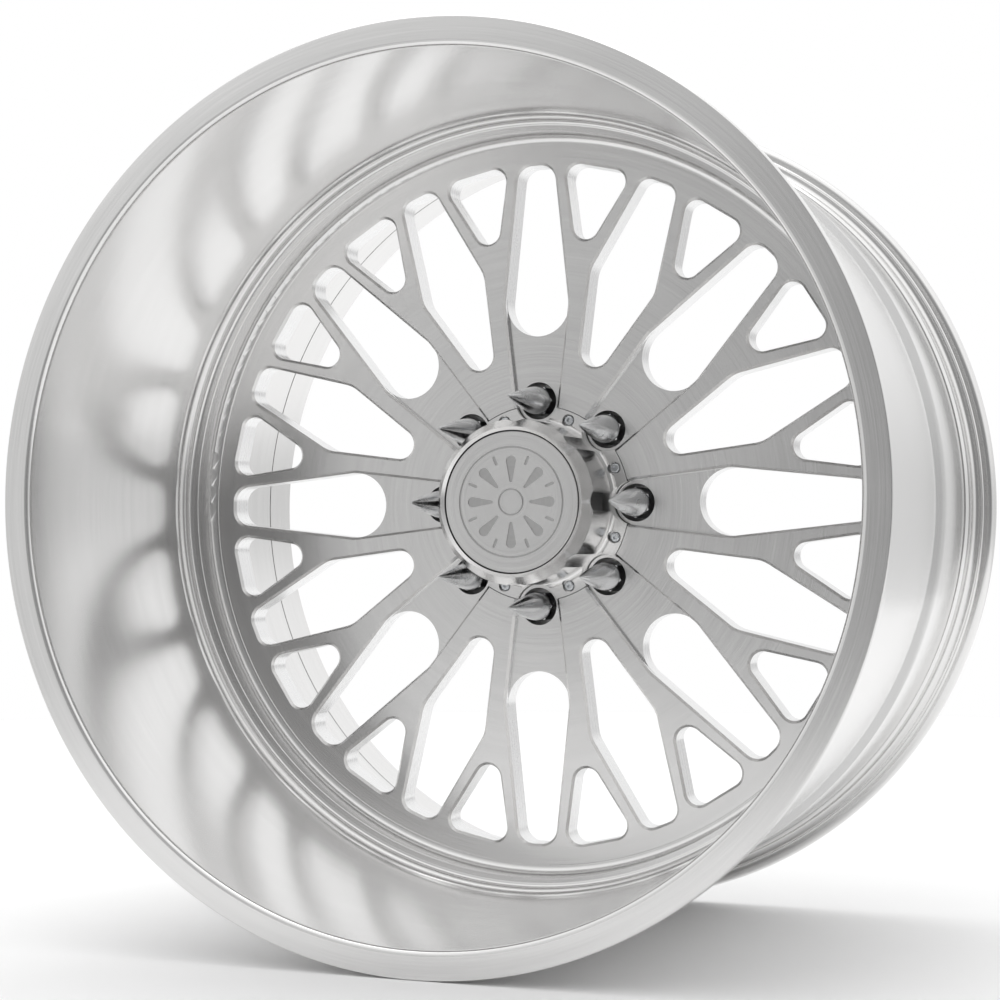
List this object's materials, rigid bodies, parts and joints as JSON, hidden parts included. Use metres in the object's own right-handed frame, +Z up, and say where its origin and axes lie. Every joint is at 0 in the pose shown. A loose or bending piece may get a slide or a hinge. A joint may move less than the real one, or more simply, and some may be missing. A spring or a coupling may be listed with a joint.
{
  "type": "forged truck wheel rim",
  "caption": "Very wide deep-dish forged truck wheel with a mesh of straight forked spokes, a raised hub cap and spiked lug nuts, in brushed aluminium.",
  "frame": {"origin": "centre of the hub bore, on the mounting pad that meets the hub", "axes": "+Y along the wheel's axis towards the vehicle, so the outboard face looks towards -Y; +Z up; the valve is on -Z"},
  "size_m": [0.695, 0.429, 0.695],
  "materials": {
    "rim_alloy": "fine turned brushing round the axis, satin",
    "weld_alloy": "dressed and brushed weld",
    "face_alloy": "fine turned brushing round the axis, satin",
    "cap_alloy": "turned and brushed",
    "medallion_alloy": "turned face with shallow engraving",
    "nut_chrome": "polished",
    "screw_steel": "bright zinc, faintly blue",
    "valve_nickel": "nickel plate",
    "core_brass": "turned",
    "core_steel": "drawn wire",
    "black_rubber": "matt"
  },
  "bodies": {
    "wheel": {"outboard_barrel": "rim_alloy", "inboard_ring": "rim_alloy", "barrel_weld": "weld_alloy", "centre_weld_front": "weld_alloy", "centre_weld_rear": "weld_alloy", "forged_centre": "face_alloy", "cap_body": "cap_alloy", "cap_medallion": "medallion_alloy", "medallion_seal": "black_rubber", "cap_screws": "screw_steel", "medallion_screws": "screw_steel", "lug_nuts": "nut_chrome", "lug_spikes": "nut_chrome", "valve_stem": "valve_nickel", "valve_grommet": "black_rubber", "valve_washer": "valve_nickel", "valve_nut": "valve_nickel", "valve_core_body": "core_brass", "valve_core_spring": "core_steel"},
    "valve_pin": {"valve_core_pin": "core_steel"},
    "valve_cap_carrier": {"valve_cap_seal": "black_rubber"},
    "valve_cap_shell": {"valve_cap": "valve_nickel"}
  },
  "joints": [
    {"name": "valve_pin_press", "type": "slide", "parent": "wheel", "child": "valve_pin", "axis": [0, 0, -1], "range_m": [0, 0.001], "stiffness_N_per_m": 1500, "springref_m": -0.0005, "deforming": ["valve_core_spring"]},
    {"name": "valve_cap_travel", "type": "slide", "parent": "wheel", "child": "valve_cap_carrier", "axis": [0, 0, 1], "range_m": [0, 0.0044]},
    {"name": "valve_cap_turn", "type": "hinge", "parent": "valve_cap_carrier", "child": "valve_cap_shell", "pos_m": [0, 0.022, -0.298], "axis": [0, 0, 1], "range_deg": [0, 1996]}
  ],
  "couplings": [
    {"joint": "valve_cap_turn", "follows": "valve_cap_travel", "rad_per_m": 7916}
  ]
}
